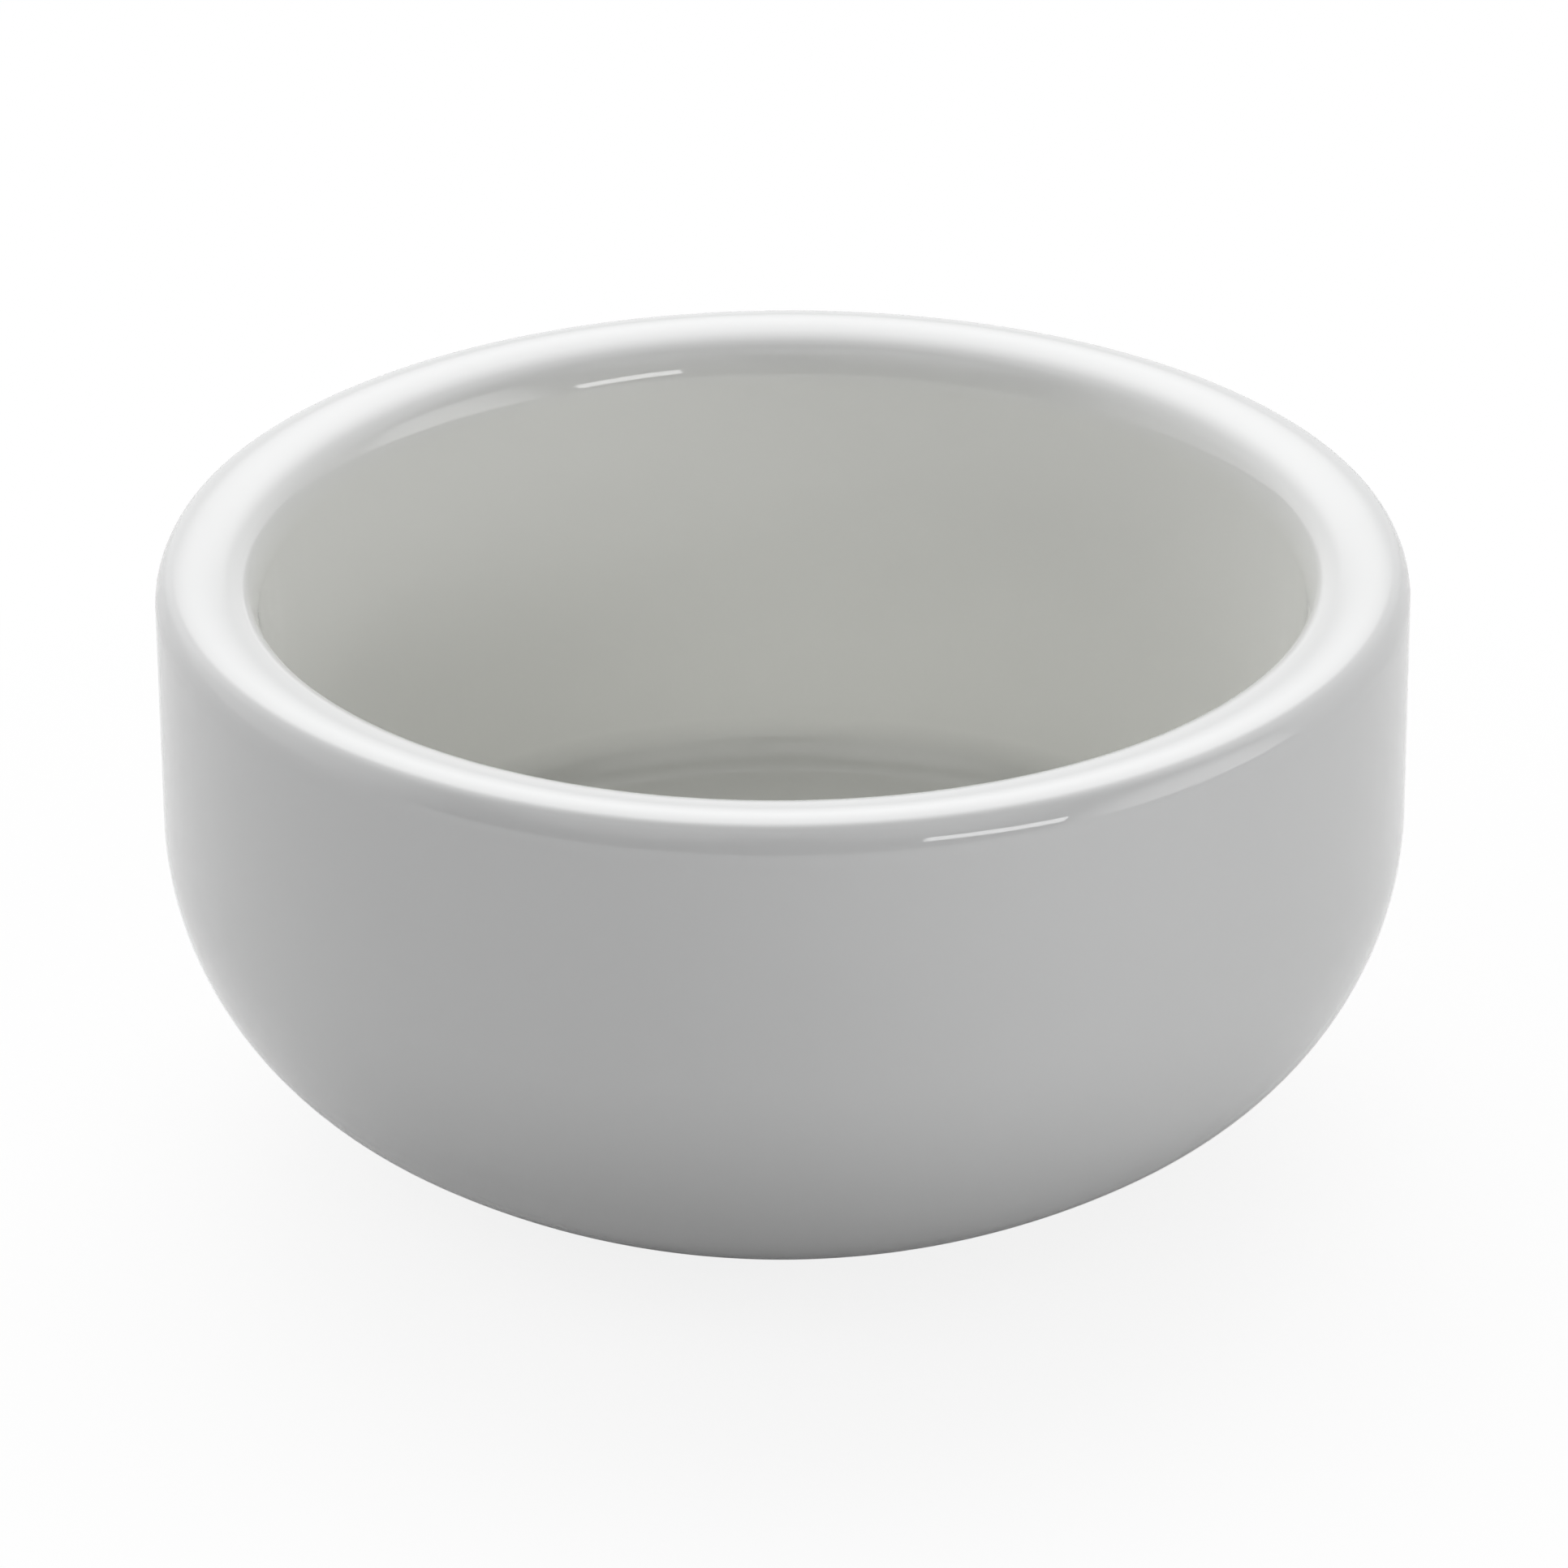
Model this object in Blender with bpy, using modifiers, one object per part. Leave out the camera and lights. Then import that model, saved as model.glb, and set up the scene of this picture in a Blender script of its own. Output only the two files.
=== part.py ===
# Individual butter pot in glazed porcelain: one thrown and fired piece.
#
# The pot stands on the XY plane with its axis on +Z, in metres. A single
# section line, from the middle of the bowl over the rim to the middle of
# the underside, is turned about the axis.

import math

import bmesh
import bpy

# Overall size
OUTER_DIAMETER = 0.0650
HEIGHT = 0.0335

# Rolled rim: arcs that share tangents, from the crown down each side. Each has
# the tilt from level at which it ends, and its radius.
RIM_OUTER_ARCS = (
    (math.radians(15.0), 0.0036),
    (math.radians(56.0), 0.0009),
    (math.radians(90.0), 0.0028),
)
RIM_INNER_ARCS = (
    (math.radians(15.0), 0.0063),
    (math.radians(35.0), 0.0027),
    (math.radians(64.0), 0.0014),
    (math.radians(87.0), 0.0044),
)

# Outside: a straight wall, a heel that turns under, and a flatter belly
HEEL_RADIUS = 0.0163
HEEL_ANGLE = math.radians(52.4)
BELLY_RADIUS = 0.0391

# Foot ring and the shallow recess inside it
FOOT_DIAMETER = 0.0300
FOOT_STEP = 0.0005
FOOT_RING_WIDTH = 0.0026
FOOT_EDGE_RADIUS = 0.0003
RECESS_DEPTH = 0.0009
RECESS_FILLET_RADIUS = 0.0005

# Inside: a tight corner and a gently dished floor, under the drafted wall
BOWL_DEPTH = 0.0278
BOWL_CORNER_RADIUS = 0.0031
BOWL_FLOOR_RADIUS = 0.110

# Fineness of the turned solid
LATHE_STEPS = 72
RIM_STEPS = 3
CURVE_STEPS = 7
EDGE_STEPS = 3
FLOOR_STEPS = 4
MERGE_DISTANCE = 0.00001

# Finish
PORCELAIN_COLOUR = (0.83, 0.83, 0.815, 1.0)
PORCELAIN_ROUGHNESS = 0.08
PORCELAIN_IOR = 1.55


def arc(centre, radius, start, end, steps):
    """Points on part of a circle, with angles from +X towards +Z."""
    points = []
    for step in range(steps + 1):
        angle = start + (end - start) * step / steps
        x = centre[0] + radius * math.cos(angle)
        z = centre[1] + radius * math.sin(angle)
        points.append((x, z))
    return points


def rim_side(crown_x, sense, arcs):
    """One side of the rim, from the crown down, outwards or inwards."""
    points = [(crown_x, HEIGHT)]
    start = 0.0
    for end, radius in arcs:
        x, z = points[-1]
        centre_x = x - sense * radius * math.sin(start)
        centre_z = z - radius * math.cos(start)
        for step in range(1, RIM_STEPS + 1):
            tilt = start + (end - start) * step / RIM_STEPS
            x = centre_x + sense * radius * math.sin(tilt)
            z = centre_z + radius * math.cos(tilt)
            points.append((x, z))
        start = end
    return points


def crown_radius():
    """Where the crown lies, so that the rim's outer side ends on the wall."""
    return OUTER_DIAMETER / 2 - rim_side(0.0, 1, RIM_OUTER_ARCS)[-1][0]


def bowl_line():
    """The inside, from the middle of the floor up to the crown of the rim."""
    rim = rim_side(crown_radius(), -1, RIM_INNER_ARCS)[::-1]
    # The wall goes on down at the tilt that the rim ends with. The corner's
    # centre keeps its radius from the wall, and travels down beside it until
    # the corner touches the floor as well.
    draft = math.pi / 2 - RIM_INNER_ARCS[-1][0]
    draft_x = math.sin(draft)
    draft_z = math.cos(draft)
    wall_x, wall_z = rim[0]
    floor_z = HEIGHT - BOWL_DEPTH + BOWL_FLOOR_RADIUS
    start_x = wall_x - BOWL_CORNER_RADIUS * draft_z
    start_z = wall_z + BOWL_CORNER_RADIUS * draft_x - floor_z
    reach = BOWL_FLOOR_RADIUS - BOWL_CORNER_RADIUS
    along = start_x * draft_x + start_z * draft_z
    spare = reach ** 2 - start_x ** 2 - start_z ** 2
    travel = along + math.sqrt(along ** 2 + spare)
    corner_x = start_x - travel * draft_x
    corner_z = start_z - travel * draft_z
    meeting = -math.acos(corner_x / reach)
    floor = arc((0.0, floor_z), BOWL_FLOOR_RADIUS, -math.pi / 2, meeting, FLOOR_STEPS)
    corner_centre = (corner_x, floor_z + corner_z)
    corner = arc(corner_centre, BOWL_CORNER_RADIUS, meeting, -draft, CURVE_STEPS)
    return floor[:-1] + corner + rim


def body_line():
    """The outside, from the crown of the rim down to where the foot begins."""
    rim = rim_side(crown_radius(), 1, RIM_OUTER_ARCS)
    # The heel and the belly share a tangent where the heel's angle ends.
    heel_x = OUTER_DIAMETER / 2 - HEEL_RADIUS
    belly_x = heel_x + (HEEL_RADIUS - BELLY_RADIUS) * math.cos(HEEL_ANGLE)
    foot_angle = math.acos((FOOT_DIAMETER / 2 - belly_x) / BELLY_RADIUS)
    belly_z = FOOT_STEP + BELLY_RADIUS * math.sin(foot_angle)
    heel_z = belly_z + (HEEL_RADIUS - BELLY_RADIUS) * math.sin(HEEL_ANGLE)
    heel = arc((heel_x, heel_z), HEEL_RADIUS, 0.0, -HEEL_ANGLE, CURVE_STEPS)
    belly_centre = (belly_x, belly_z)
    belly = arc(belly_centre, BELLY_RADIUS, -HEEL_ANGLE, -foot_angle, FLOOR_STEPS)
    return rim + heel[:-1] + belly


def foot_line():
    """The foot ring and its recess, from the outer side to the axis."""
    outer = FOOT_DIAMETER / 2
    inner = outer - FOOT_RING_WIDTH
    edge = FOOT_EDGE_RADIUS
    outer_edge = arc((outer - edge, edge), edge, 0.0, -math.pi / 2, EDGE_STEPS)
    inner_edge = arc((inner + edge, edge), edge, -math.pi / 2, -math.pi, EDGE_STEPS)
    fillet_radius = min(RECESS_FILLET_RADIUS, RECESS_DEPTH - edge)
    fillet_centre = (inner - fillet_radius, RECESS_DEPTH - fillet_radius)
    fillet = arc(fillet_centre, fillet_radius, 0.0, math.pi / 2, EDGE_STEPS)
    return outer_edge + inner_edge + fillet + [(0.0, RECESS_DEPTH)]


def add_profile(name, points, collection):
    """An object holding the section line in the XZ plane."""
    mesh = bpy.data.meshes.new(name)
    build = bmesh.new()
    corners = [build.verts.new((x, 0.0, z)) for x, z in points]
    for first, second in zip(corners, corners[1:]):
        build.edges.new((first, second))
    build.to_mesh(mesh)
    build.free()
    profile = bpy.data.objects.new(name, mesh)
    collection.objects.link(profile)
    return profile


def turn_profile(profile):
    """Turn the section line a full circle about the Z axis."""
    screw = profile.modifiers.new("turned", "SCREW")
    screw.axis = "Z"
    screw.angle = math.tau
    screw.steps = LATHE_STEPS
    screw.render_steps = LATHE_STEPS
    screw.use_merge_vertices = True
    screw.merge_threshold = MERGE_DISTANCE
    screw.use_smooth_shade = True


def porcelain():
    """White porcelain under a clear glossy glaze."""
    material = bpy.data.materials.new("glazed_porcelain")
    material.use_nodes = True
    shader = material.node_tree.nodes["Principled BSDF"]
    shader.inputs["Base Color"].default_value = PORCELAIN_COLOUR
    shader.inputs["Roughness"].default_value = PORCELAIN_ROUGHNESS
    shader.inputs["Metallic"].default_value = 0.0
    shader.inputs["IOR"].default_value = PORCELAIN_IOR
    material.diffuse_color = PORCELAIN_COLOUR
    return material


def main():
    for old in list(bpy.data.objects):
        bpy.data.objects.remove(old, do_unlink=True)
    collection = bpy.data.collections.new("butter_pot")
    bpy.context.scene.collection.children.link(collection)
    section = bowl_line() + body_line()[1:] + foot_line()
    pot = add_profile("pot", section, collection)
    turn_profile(pot)
    pot.data.materials.append(porcelain())


main()
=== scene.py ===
# Individual butter pot in white glazed porcelain, dressed for a studio still.
#
# The pot stands on the XY plane with its axis on +Z, in metres, and the
# camera looks along +Y and down into the bowl.

import math

import bmesh
import bpy
from mathutils import Matrix, Quaternion, Vector


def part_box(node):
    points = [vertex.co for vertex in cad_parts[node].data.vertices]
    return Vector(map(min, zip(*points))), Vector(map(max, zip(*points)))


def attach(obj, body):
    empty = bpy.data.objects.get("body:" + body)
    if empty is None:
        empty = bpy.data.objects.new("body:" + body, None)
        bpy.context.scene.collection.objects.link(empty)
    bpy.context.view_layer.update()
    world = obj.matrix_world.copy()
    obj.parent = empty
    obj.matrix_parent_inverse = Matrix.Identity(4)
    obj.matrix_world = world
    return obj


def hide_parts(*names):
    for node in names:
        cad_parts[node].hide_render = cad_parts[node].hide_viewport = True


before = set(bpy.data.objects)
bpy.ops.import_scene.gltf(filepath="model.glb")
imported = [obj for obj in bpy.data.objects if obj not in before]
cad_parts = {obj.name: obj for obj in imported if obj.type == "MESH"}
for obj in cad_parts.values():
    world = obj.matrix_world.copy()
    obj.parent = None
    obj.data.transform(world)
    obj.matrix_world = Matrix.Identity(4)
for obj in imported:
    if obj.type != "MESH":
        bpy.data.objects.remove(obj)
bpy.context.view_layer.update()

# Overall size, read from the solid that the dressed pot stands in for
POT_LOW, POT_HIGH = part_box("pot")
OUTER_RADIUS = (POT_HIGH[0] - POT_LOW[0]) / 2
HEIGHT = POT_HIGH[2] - POT_LOW[2]

# Rolled rim: arcs that share tangents, from the crown down each side. Each has
# the tilt from level at which it ends, and its radius.
RIM_OUTER_ARCS = (
    (math.radians(15.0), 0.0036),
    (math.radians(56.0), 0.0009),
    (math.radians(90.0), 0.0028),
)
RIM_INNER_ARCS = (
    (math.radians(15.0), 0.0063),
    (math.radians(35.0), 0.0027),
    (math.radians(64.0), 0.0014),
    (math.radians(87.0), 0.0044),
)

# Outside: a straight wall, a heel that turns under, and a flatter belly
HEEL_RADIUS = 0.0163
HEEL_ANGLE = math.radians(52.4)
BELLY_RADIUS = 0.0391

# Foot ring and the shallow recess inside it; the glaze stops a little above
# the ring's face and fills the crease between the foot and the belly
FOOT_RADIUS = 0.0150
FOOT_STEP = 0.0005
FOOT_CREASE_RADIUS = 0.0002
FOOT_RING_WIDTH = 0.0026
FOOT_EDGE_RADIUS = 0.00025
GLAZE_THICKNESS = 0.00007
GLAZE_LINE = 0.00032
GLAZE_LIP_RADIUS = 0.00004
RECESS_DEPTH = 0.0009
RECESS_FILLET_RADIUS = 0.0005

# Inside: a tight corner and a gently dished floor, under the drafted wall
BOWL_DEPTH = 0.0278
BOWL_CORNER_RADIUS = 0.0031
BOWL_FLOOR_RADIUS = 0.110

# Fineness of the turned surface
LATHE_STEPS = 256
RIM_STEPS = 10
CURVE_STEPS = 24
EDGE_STEPS = 5
CREASE_STEPS = 8
FLOOR_STEPS = 20
MERGE_DISTANCE = 0.000001

# Camera: it stands off from a point on the pot's axis, a little above the
# pot's middle, and its view is lifted and rolled slightly from there
AIM_HEIGHT = 0.01725
CAMERA_DISTANCE = 0.455
CAMERA_ELEVATION = math.radians(26.646)
CAMERA_LIFT = math.radians(0.2985)
CAMERA_ROLL = math.radians(-0.354)
SENSOR_WIDTH = 36.0
LENS = 198.55

# Glaze: its colour outside, and the colours painted into the bowl. On the
# bowl's wall it is warmer and lighter, a tint with painted light; on the floor
# and corner it is darker, painted shade. The wall's colour comes in over the
# fade depth below the crown of the rim, and the floor's shade between the two
# shade depths below it. The wall's share is the value that marks the wall's
# colour, where the floor's painted shade counts as 1.
GLAZE_COLOUR = (0.81, 0.815, 0.815, 1.0)
# Lighter colour on the bowl's wall: painted light, with a warmer tint
BOWL_WALL_LIGHT_AND_TINT = (0.9, 0.902, 0.872, 1.0)
# Darker colour on the bowl's floor and corner: painted shade
BOWL_FLOOR_SHADE_COLOUR = (0.71, 0.715, 0.685, 1.0)
WALL_LIGHT_AND_TINT_FADE = 0.004
FLOOR_SHADE_DEPTHS = (0.0224, 0.0238)
WALL_SHADING_SHARE = 0.5
GLAZE_ROUGHNESS = (0.03, 0.06)
GLAZE_IOR = 1.55

# Bare clay of the foot ring
BISCUIT_DARK = (0.62, 0.59, 0.54, 1.0)
BISCUIT_LIGHT = (0.80, 0.78, 0.74, 1.0)
BISCUIT_ROUGHNESS = 0.75

# Patterns: each noise has its scale per metre and its detail. The values that
# lie in the noise span are spread over the range that the pattern drives.
NOISE_SPAN = (0.3, 0.7)
CLOUD_NOISE = (45.0, 2.0)
CLOUD_SHADE = (0.985, 1.0)
GLOSS_NOISE = (90.0, 2.0)
WAVE_NOISE = (170.0, 1.0)
WAVE_RELIEF = 0.00002
LINE_NOISE = (500.0, 2.0)
LINE_WANDER = (-0.00005, 0.00005)
LINE_SOFTNESS = 0.00001
GRAIN_NOISE = (4000.0, 3.0)
GRAIN_RELIEF = 0.00001

# Table: its colour is what its bounced light has. The shadow that the camera
# sees thins out between two distances from the pot's axis, as the share of
# plain white goes up.
TABLE_COLOUR = (0.5, 0.5, 0.5, 1.0)
TABLE_SIZE = 6.0
SHADOW_FADE = (0.02, 0.08)
SHADOW_PLAINNESS = (0.85, 1.0)
WHITE = (1.0, 1.0, 1.0, 1.0)

# Studio: azimuth 0 is the camera's side, and positive azimuths are on its
# right. Each soft light has its azimuth, its elevation and the angle from its
# middle where it ends, all in degrees, and its radiance. It starts to fade at
# the edge of its core.
KEY = (180.0, 54.0, 40.0, 2.55)
BACK = (180.0, 20.0, 60.0, 0.85)
SIDE_LEFT = (-105.0, 10.0, 50.0, 1.25)
SIDE_RIGHT = (77.0, 0.0, 32.0, 2.5)
FILL_LEFT = (-30.0, 43.0, 30.0, 0.92)
FILL_RIGHT = (26.0, 43.0, 28.0, 0.7)
SOFT_LIGHTS = (KEY, BACK, SIDE_LEFT, SIDE_RIGHT, FILL_LEFT, FILL_RIGHT)
LIGHT_CORE = math.radians(5.0)
ROOM_GLOW = 0.005

# In a reflection the white backdrop comes in over this span of a direction's
# Y, which is positive behind the pot
BACKDROP_FADE = (-0.2, 0.2)

# A small strip of light low on the camera's right
STRIP_AZIMUTH = math.radians(34.8)
STRIP_ELEVATION = math.radians(14.6)
STRIP_DISTANCE = 0.2325
STRIP_ROLL = math.radians(-12.0)
STRIP_SIZE = (0.098, 0.026)
STRIP_RADIANCE = 5.8


def arc(centre, radius, start, end, steps):
    """Points on part of a circle, with angles from +X towards +Z."""
    points = []
    for step in range(steps + 1):
        angle = start + (end - start) * step / steps
        x = centre[0] + radius * math.cos(angle)
        z = centre[1] + radius * math.sin(angle)
        points.append((x, z))
    return points


def rim_side(crown_x, sense, arcs):
    """One side of the rim, from the crown down, outwards or inwards."""
    points = [(crown_x, HEIGHT)]
    start = 0.0
    for end, radius in arcs:
        x, z = points[-1]
        centre_x = x - sense * radius * math.sin(start)
        centre_z = z - radius * math.cos(start)
        for step in range(1, RIM_STEPS + 1):
            tilt = start + (end - start) * step / RIM_STEPS
            x = centre_x + sense * radius * math.sin(tilt)
            z = centre_z + radius * math.cos(tilt)
            points.append((x, z))
        start = end
    return points


def crown_radius():
    """Where the crown lies, so that the rim's outer side ends on the wall."""
    return OUTER_RADIUS - rim_side(0.0, 1, RIM_OUTER_ARCS)[-1][0]


def bowl_line():
    """The inside, from the middle of the floor up to the crown of the rim."""
    rim = rim_side(crown_radius(), -1, RIM_INNER_ARCS)[::-1]
    # The wall goes on down at the tilt that the rim ends with. The corner's
    # centre keeps its radius from the wall, and travels down beside it until
    # the corner touches the floor as well.
    draft = math.pi / 2 - RIM_INNER_ARCS[-1][0]
    draft_x = math.sin(draft)
    draft_z = math.cos(draft)
    wall_x, wall_z = rim[0]
    floor_z = HEIGHT - BOWL_DEPTH + BOWL_FLOOR_RADIUS
    start_x = wall_x - BOWL_CORNER_RADIUS * draft_z
    start_z = wall_z + BOWL_CORNER_RADIUS * draft_x - floor_z
    reach = BOWL_FLOOR_RADIUS - BOWL_CORNER_RADIUS
    along = start_x * draft_x + start_z * draft_z
    spare = reach ** 2 - start_x ** 2 - start_z ** 2
    travel = along + math.sqrt(along ** 2 + spare)
    corner_x = start_x - travel * draft_x
    corner_z = start_z - travel * draft_z
    meeting = -math.acos(corner_x / reach)
    floor = arc((0.0, floor_z), BOWL_FLOOR_RADIUS, -math.pi / 2, meeting, FLOOR_STEPS)
    corner_centre = (corner_x, floor_z + corner_z)
    corner = arc(corner_centre, BOWL_CORNER_RADIUS, meeting, -draft, CURVE_STEPS)
    return floor[:-1] + corner + rim


def body_line():
    """The outside, from the crown of the rim to the foot's upright side."""
    rim = rim_side(crown_radius(), 1, RIM_OUTER_ARCS)
    # The heel and the belly share a tangent where the heel's angle ends.
    heel_x = OUTER_RADIUS - HEEL_RADIUS
    belly_x = heel_x + (HEEL_RADIUS - BELLY_RADIUS) * math.cos(HEEL_ANGLE)
    foot_angle = math.acos((FOOT_RADIUS - belly_x) / BELLY_RADIUS)
    belly_z = FOOT_STEP + BELLY_RADIUS * math.sin(foot_angle)
    heel_z = belly_z + (HEEL_RADIUS - BELLY_RADIUS) * math.sin(HEEL_ANGLE)
    heel = arc((heel_x, heel_z), HEEL_RADIUS, 0.0, -HEEL_ANGLE, CURVE_STEPS)
    # The crease touches the belly from outside and the foot's upright side.
    crease_x = FOOT_RADIUS + FOOT_CREASE_RADIUS
    reach = BELLY_RADIUS + FOOT_CREASE_RADIUS
    crease_angle = -math.acos((crease_x - belly_x) / reach)
    crease_z = belly_z + reach * math.sin(crease_angle)
    belly_centre = (belly_x, belly_z)
    belly = arc(belly_centre, BELLY_RADIUS, -HEEL_ANGLE, crease_angle, FLOOR_STEPS)
    crease = arc(
        (crease_x, crease_z),
        FOOT_CREASE_RADIUS,
        crease_angle + math.pi,
        math.pi,
        EDGE_STEPS,
    )
    return rim + heel[:-1] + belly[:-1] + crease


def foot_line():
    """The foot ring and its recess, from the outer side to the axis.

    The bare ring stands back from the glaze on both sides by the glaze's
    thickness, and the glaze ends in a small rounded lip.
    """
    lip = GLAZE_LIP_RADIUS
    edge = FOOT_EDGE_RADIUS
    outer = FOOT_RADIUS - GLAZE_THICKNESS
    inner = FOOT_RADIUS - FOOT_RING_WIDTH + GLAZE_THICKNESS
    lip_z = GLAZE_LINE + lip
    outer_lip = arc((FOOT_RADIUS - lip, lip_z), lip, 0.0, -math.pi / 2, EDGE_STEPS)
    outer_edge = arc((outer - edge, edge), edge, 0.0, -math.pi / 2, EDGE_STEPS)
    inner_edge = arc((inner + edge, edge), edge, -math.pi / 2, -math.pi, EDGE_STEPS)
    recess_radius = FOOT_RADIUS - FOOT_RING_WIDTH
    inner_lip_centre = (recess_radius + lip, lip_z)
    inner_lip = arc(inner_lip_centre, lip, -math.pi / 2, -math.pi, EDGE_STEPS)
    fillet_radius = min(RECESS_FILLET_RADIUS, RECESS_DEPTH - lip_z)
    fillet_centre = (recess_radius - fillet_radius, RECESS_DEPTH - fillet_radius)
    fillet = arc(fillet_centre, fillet_radius, 0.0, math.pi / 2, CREASE_STEPS)
    recess = [(0.0, RECESS_DEPTH)]
    outer_side = outer_lip + [(outer, GLAZE_LINE)] + outer_edge
    inner_side = inner_edge + [(inner, GLAZE_LINE)] + inner_lip
    return outer_side + inner_side + fillet + recess


def bowl_shading_values(bowl_points, other_points):
    """Painted bowl shading: 0 outside, the wall's share for its tint and painted light,
    1 in the painted shade on the floor.
    """
    shading_values = []
    shade_start, shade_end = FLOOR_SHADE_DEPTHS
    for _, z in bowl_points:
        wall = min(1.0, (HEIGHT - z) / WALL_LIGHT_AND_TINT_FADE)
        floor_shade = (HEIGHT - z - shade_start) / (shade_end - shade_start)
        floor_shade = min(1.0, max(0.0, floor_shade))
        shading_values.append(WALL_SHADING_SHARE * wall + (1.0 - WALL_SHADING_SHARE) * floor_shade)
    return shading_values + [0.0] * len(other_points)


def turned(name, points, shading_values):
    """A mesh object made by turning a section line about the Z axis."""
    mesh = bpy.data.meshes.new(name)
    build = bmesh.new()
    corners = [build.verts.new((x, 0.0, z)) for x, z in points]
    for first, second in zip(corners, corners[1:]):
        build.edges.new((first, second))
    build.to_mesh(mesh)
    build.free()
    # The bowl's tint, painted light and painted shade are carried by this attribute
    shading_layer = mesh.attributes.new("painted_bowl_shading", "FLOAT", "POINT")
    shading_layer.data.foreach_set("value", shading_values)
    piece = bpy.data.objects.new(name, mesh)
    bpy.context.scene.collection.objects.link(piece)
    screw = piece.modifiers.new("turned", "SCREW")
    screw.axis = "Z"
    screw.angle = math.tau
    screw.steps = LATHE_STEPS
    screw.render_steps = LATHE_STEPS
    screw.use_merge_vertices = True
    screw.merge_threshold = MERGE_DISTANCE
    screw.use_smooth_shade = True
    return piece


def new_material(name):
    """A material with its node tree and its Principled shader."""
    material = bpy.data.materials.new(name)
    material.use_nodes = True
    tree = material.node_tree
    return material, tree, tree.nodes["Principled BSDF"]


def add_noise(tree, place, scale, detail):
    """A noise pattern in the pot's own coordinates; scale is per metre."""
    noise = tree.nodes.new("ShaderNodeTexNoise")
    noise.inputs["Scale"].default_value = scale
    noise.inputs["Detail"].default_value = detail
    tree.links.new(place, noise.inputs["Vector"])
    return noise.outputs["Fac"]


def add_range(tree, value, from_range, to_range, easing="LINEAR"):
    """A value carried from one range to another, held at both ends."""
    node = tree.nodes.new("ShaderNodeMapRange")
    node.interpolation_type = easing
    node.inputs["From Min"].default_value = from_range[0]
    node.inputs["From Max"].default_value = from_range[1]
    node.inputs["To Min"].default_value = to_range[0]
    node.inputs["To Max"].default_value = to_range[1]
    tree.links.new(value, node.inputs["Value"])
    return node.outputs["Result"]


def add_math(tree, operation, first, second):
    """Two values combined by a plain operation."""
    node = tree.nodes.new("ShaderNodeMath")
    node.operation = operation
    tree.links.new(first, node.inputs[0])
    tree.links.new(second, node.inputs[1])
    return node.outputs["Value"]


def add_mix(tree, factor, first, second, blend="MIX"):
    """Two colours mixed; each is a socket or a plain colour."""
    node = tree.nodes.new("ShaderNodeMixRGB")
    node.blend_type = blend
    for socket, value in zip(node.inputs, (factor, first, second)):
        if isinstance(value, bpy.types.NodeSocket):
            tree.links.new(value, socket)
        else:
            socket.default_value = value
    return node.outputs["Color"]


def add_shader_mix(tree, factor, first, second):
    """Two shaders mixed by a factor."""
    node = tree.nodes.new("ShaderNodeMixShader")
    tree.links.new(factor, node.inputs["Fac"])
    tree.links.new(first, node.inputs[1])
    tree.links.new(second, node.inputs[2])
    return node.outputs["Shader"]


def add_bump(tree, height, distance, strength, normal=None):
    """Relief from a height pattern; distance is its depth in metres."""
    bump = tree.nodes.new("ShaderNodeBump")
    bump.inputs["Distance"].default_value = distance
    tree.links.new(height, bump.inputs["Height"])
    if isinstance(strength, bpy.types.NodeSocket):
        tree.links.new(strength, bump.inputs["Strength"])
    else:
        bump.inputs["Strength"].default_value = strength
    if normal is not None:
        tree.links.new(normal, bump.inputs["Normal"])
    return bump.outputs["Normal"]


def add_glaze_colour_and_bowl_shading(tree, place):
    """The glaze's colour, a little cloudy: warmer and lighter on the bowl's wall with
    painted light, darker on its floor with painted shade.
    """
    shading_layer = tree.nodes.new("ShaderNodeAttribute")
    shading_layer.attribute_name = "painted_bowl_shading"
    bowl_shading = shading_layer.outputs["Fac"]
    # The bowl's wall gets a warmer tint with painted light, and its floor painted shade
    in_bowl = add_range(tree, bowl_shading, (0.0, WALL_SHADING_SHARE), (0.0, 1.0))
    in_floor_shade = add_range(tree, bowl_shading, (WALL_SHADING_SHARE, 1.0), (0.0, 1.0))
    glaze = add_mix(tree, in_bowl, GLAZE_COLOUR, BOWL_WALL_LIGHT_AND_TINT)
    glaze = add_mix(tree, in_floor_shade, glaze, BOWL_FLOOR_SHADE_COLOUR)
    cloud = add_noise(tree, place, *CLOUD_NOISE)
    cloud = add_range(tree, cloud, NOISE_SPAN, CLOUD_SHADE)
    return add_mix(tree, 1.0, glaze, cloud, "MULTIPLY")


def add_bare_ring(tree, place):
    """1 on the bare foot ring and 0 on the glaze, with a line that wanders a little."""
    split = tree.nodes.new("ShaderNodeSeparateXYZ")
    tree.links.new(place, split.inputs["Vector"])
    wander = add_noise(tree, place, *LINE_NOISE)
    wander = add_range(tree, wander, NOISE_SPAN, LINE_WANDER)
    line = add_math(tree, "ADD", split.outputs["Z"], wander)
    fade = (GLAZE_LINE - LINE_SOFTNESS, GLAZE_LINE + LINE_SOFTNESS)
    return add_range(tree, line, fade, (1.0, 0.0))


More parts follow.
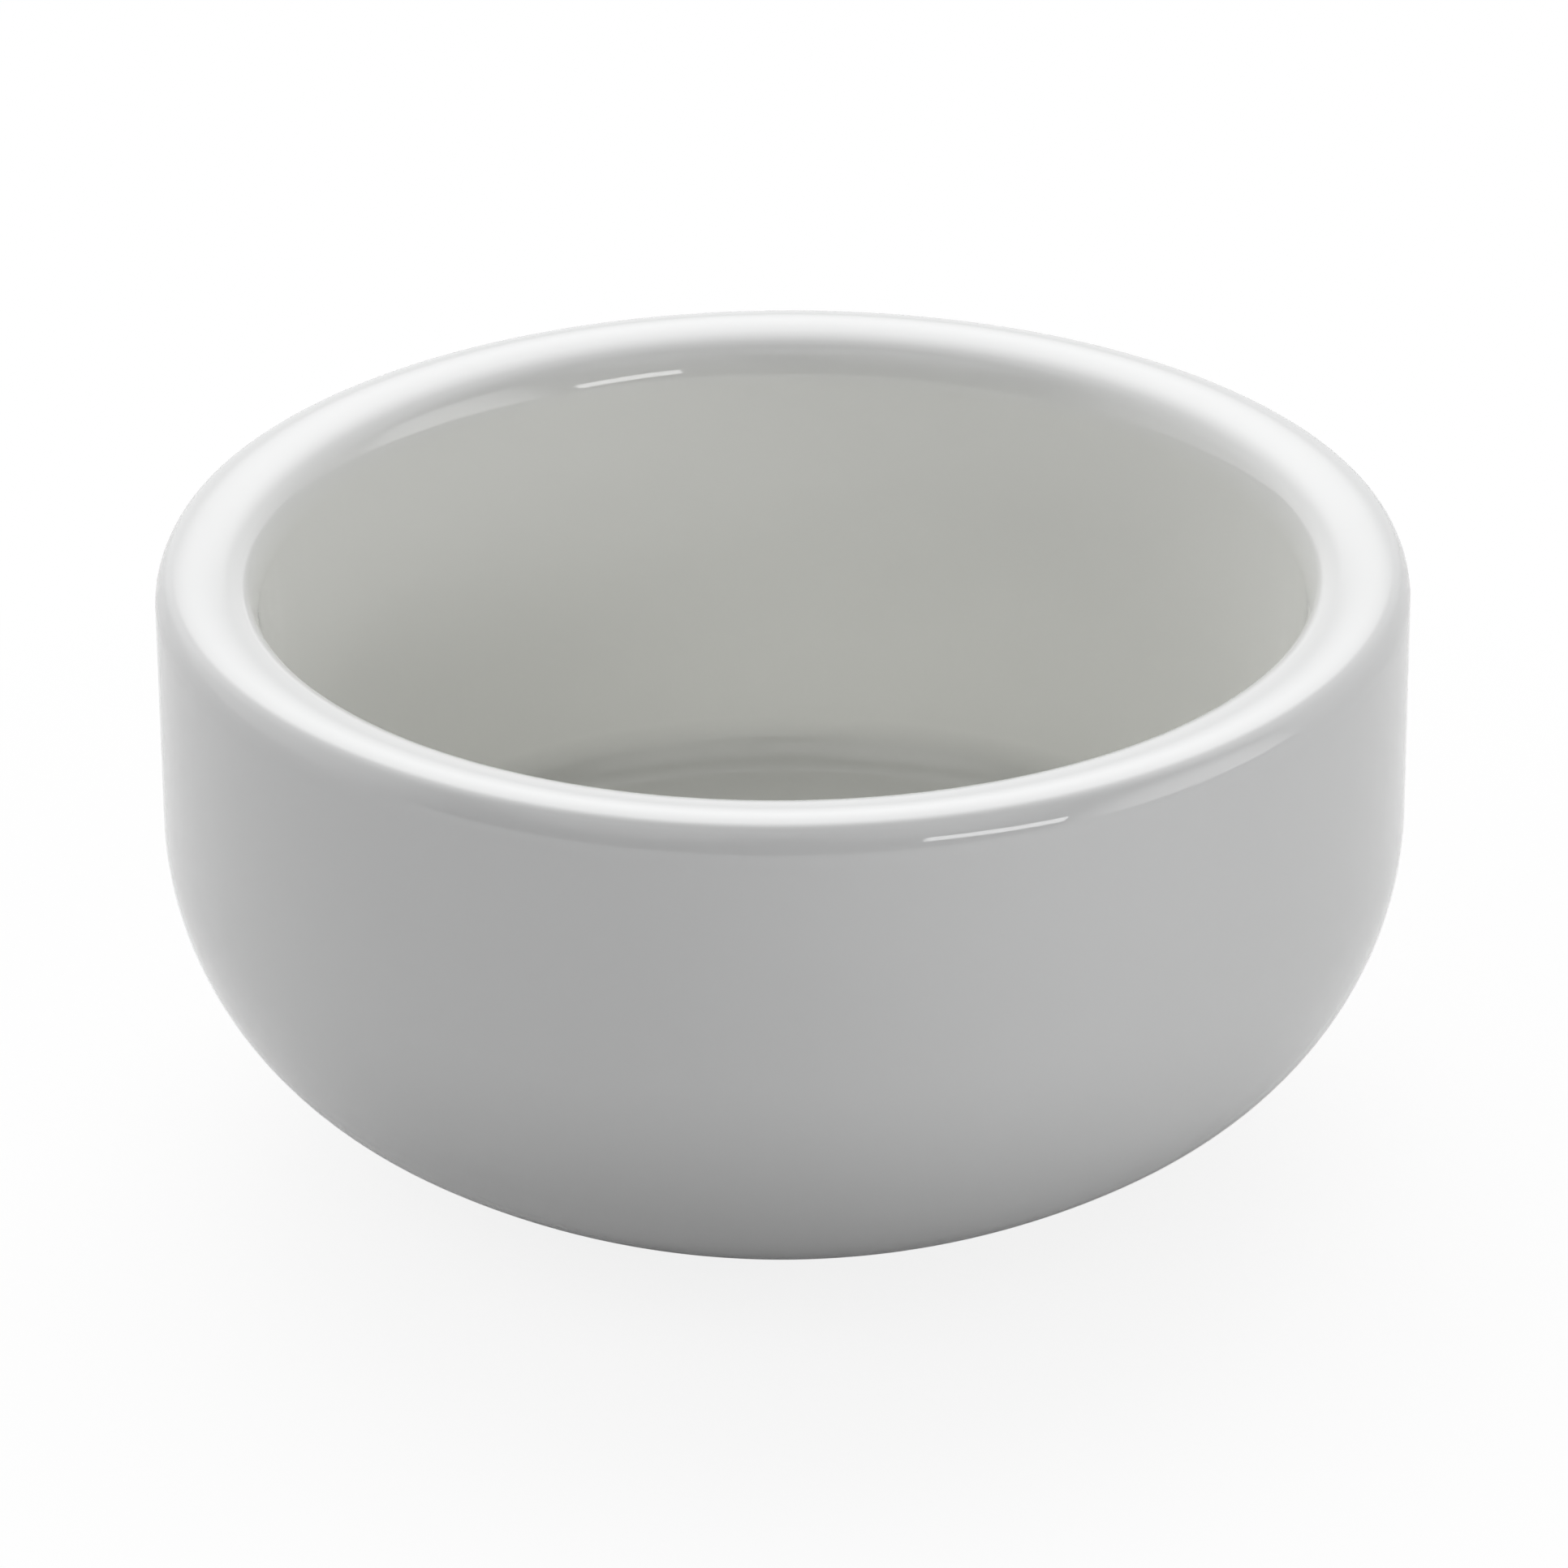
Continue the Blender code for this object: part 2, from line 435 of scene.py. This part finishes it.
def glazed_porcelain():
    """Clear glaze over white porcelain, with the foot ring left bare.

    The glaze's gloss varies slightly, and its surface waves by about a
    hundredth of a millimetre. The bare ring is matt and fine-grained.
    """
    material, tree, shader = new_material("glazed_porcelain")
    place = tree.nodes.new("ShaderNodeTexCoord").outputs["Object"]
    bare = add_bare_ring(tree, place)

    glaze = add_glaze_colour_and_bowl_shading(tree, place)
    grain = add_noise(tree, place, *GRAIN_NOISE)
    biscuit = add_mix(tree, grain, BISCUIT_DARK, BISCUIT_LIGHT)
    colour = add_mix(tree, bare, glaze, biscuit)
    tree.links.new(colour, shader.inputs["Base Color"])

    gloss = add_noise(tree, place, *GLOSS_NOISE)
    gloss = add_range(tree, gloss, NOISE_SPAN, GLAZE_ROUGHNESS)
    roughness = add_mix(tree, bare, gloss, (BISCUIT_ROUGHNESS,) * 3 + (1.0,))
    tree.links.new(roughness, shader.inputs["Roughness"])
    shader.inputs["IOR"].default_value = GLAZE_IOR

    wave = add_noise(tree, place, *WAVE_NOISE)
    normal = add_bump(tree, wave, WAVE_RELIEF, 1.0)
    normal = add_bump(tree, grain, GRAIN_RELIEF, bare, normal)
    tree.links.new(normal, shader.inputs["Normal"])
    return material


def add_mirrored(tree, path):
    """1 for what is seen in the gloss or through glass, and 0 for other rays."""
    glossy = path.outputs["Is Glossy Ray"]
    through = path.outputs["Is Transmission Ray"]
    return add_math(tree, "ADD", glossy, through)


def white_table():
    """A matt table that the camera and the gloss see as white.

    The gloss shows it as matt white with the pot's whole shadow. The camera
    sees it as plain white with a lighter shadow, which is deepest under the
    pot and fades outwards. Its bounced light stays that of a mid grey.
    """
    material, tree, shader = new_material("white_table")
    shader.inputs["Base Color"].default_value = TABLE_COLOUR
    shader.inputs["Roughness"].default_value = 1.0
    shader.inputs["Specular IOR Level"].default_value = 0.0
    diffuse = tree.nodes.new("ShaderNodeBsdfDiffuse")
    diffuse.inputs["Color"].default_value = WHITE
    matt_white = diffuse.outputs["BSDF"]
    plain_white = tree.nodes.new("ShaderNodeEmission").outputs["Emission"]

    place = tree.nodes.new("ShaderNodeTexCoord")
    away = tree.nodes.new("ShaderNodeVectorMath")
    away.operation = "LENGTH"
    tree.links.new(place.outputs["Object"], away.inputs[0])
    plainness = add_range(tree, away.outputs["Value"], SHADOW_FADE, SHADOW_PLAINNESS)
    seen = add_shader_mix(tree, plainness, matt_white, plain_white)

    path = tree.nodes.new("ShaderNodeLightPath")
    mirrored = add_mirrored(tree, path)
    surface = add_shader_mix(tree, mirrored, shader.outputs["BSDF"], matt_white)
    surface = add_shader_mix(tree, path.outputs["Is Camera Ray"], surface, seen)
    output = tree.nodes["Material Output"]
    tree.links.new(surface, output.inputs["Surface"])
    return material


def add_floor():
    """The table under the pot, which reaches far out of the picture."""
    bpy.ops.mesh.primitive_plane_add(size=TABLE_SIZE)
    floor = bpy.context.object
    floor.name = "floor"
    floor.data.materials.append(white_table())


def direction(azimuth, elevation):
    """Unit vector towards a place round the pot, azimuth 0 at the camera."""
    flat = math.cos(elevation)
    return Vector((
        math.sin(azimuth) * flat,
        -math.cos(azimuth) * flat,
        math.sin(elevation),
    ))


def add_strip():
    """The strip lamp; it faces the point that the camera stands off from."""
    width, height = STRIP_SIZE
    data = bpy.data.lights.new("strip", "AREA")
    data.shape = "RECTANGLE"
    data.size = width
    data.size_y = height
    # An area lamp's power is its radiance times pi times its area.
    data.energy = STRIP_RADIANCE * math.pi * width * height
    strip = bpy.data.objects.new("strip", data)
    strip.visible_camera = False
    bpy.context.scene.collection.objects.link(strip)
    away = direction(STRIP_AZIMUTH, STRIP_ELEVATION)
    strip.location = Vector((0.0, 0.0, AIM_HEIGHT)) + away * STRIP_DISTANCE
    roll = Quaternion((0.0, 0.0, 1.0), STRIP_ROLL)
    strip.rotation_euler = (away.to_track_quat("Z", "Y") @ roll).to_euler()


def add_soft_light(tree, place, azimuth, elevation, edge, radiance):
    """A soft-edged round light in the world, as a value to add up."""
    facing = tree.nodes.new("ShaderNodeVectorMath")
    facing.operation = "DOT_PRODUCT"
    middle = direction(math.radians(azimuth), math.radians(elevation))
    facing.inputs[1].default_value = middle
    tree.links.new(place, facing.inputs[0])
    fade = (math.cos(math.radians(edge)), math.cos(LIGHT_CORE))
    return add_range(tree, facing.outputs["Value"], fade, (0.0, radiance), "SMOOTHSTEP")


def add_world():
    """The studio round the pot: soft lights in a dim room, and a white backdrop.

    Seen directly the room is plain white; in a reflection only its far half
    is, behind the pot.
    """
    world = bpy.data.worlds.new("studio")
    world.use_nodes = True
    tree = world.node_tree
    background = tree.nodes["Background"]
    background.inputs["Color"].default_value = WHITE
    place = tree.nodes.new("ShaderNodeTexCoord").outputs["Generated"]
    light = tree.nodes.new("ShaderNodeValue").outputs["Value"]
    light.default_value = ROOM_GLOW
    for settings in SOFT_LIGHTS:
        light = add_math(tree, "ADD", light, add_soft_light(tree, place, *settings))

    split = tree.nodes.new("ShaderNodeSeparateXYZ")
    tree.links.new(place, split.inputs["Vector"])
    behind = add_range(tree, split.outputs["Y"], BACKDROP_FADE, (0.0, 1.0))
    path = tree.nodes.new("ShaderNodeLightPath")
    mirrored = add_math(tree, "MULTIPLY", add_mirrored(tree, path), behind)
    white = add_math(tree, "ADD", path.outputs["Is Camera Ray"], mirrored)
    strength = add_math(tree, "MAXIMUM", light, white)
    tree.links.new(strength, background.inputs["Strength"])
    bpy.context.scene.world = world


def add_camera():
    """The camera, in front of the pot and looking down into its bowl."""
    data = bpy.data.cameras.new("camera")
    data.sensor_width = SENSOR_WIDTH
    data.lens = LENS
    camera = bpy.data.objects.new("camera", data)
    bpy.context.scene.collection.objects.link(camera)
    away = direction(0.0, CAMERA_ELEVATION)
    place = Vector((0.0, 0.0, AIM_HEIGHT)) + away * CAMERA_DISTANCE
    pitch = math.pi / 2 - CAMERA_ELEVATION + CAMERA_LIFT
    turn = Matrix.Rotation(pitch, 4, "X") @ Matrix.Rotation(CAMERA_ROLL, 4, "Z")
    camera.matrix_world = Matrix.Translation(place) @ turn
    bpy.context.scene.camera = camera


def main():
    bowl = bowl_line()
    outside = body_line()[1:] + foot_line()
    pot = turned("glazed_pot", bowl + outside, bowl_shading_values(bowl, outside))
    pot.data.materials.append(glazed_porcelain())
    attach(pot, "root")
    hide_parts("pot")
    add_floor()
    add_camera()
    add_world()
    add_strip()
    bpy.context.scene.view_settings.view_transform = "Standard"


main()
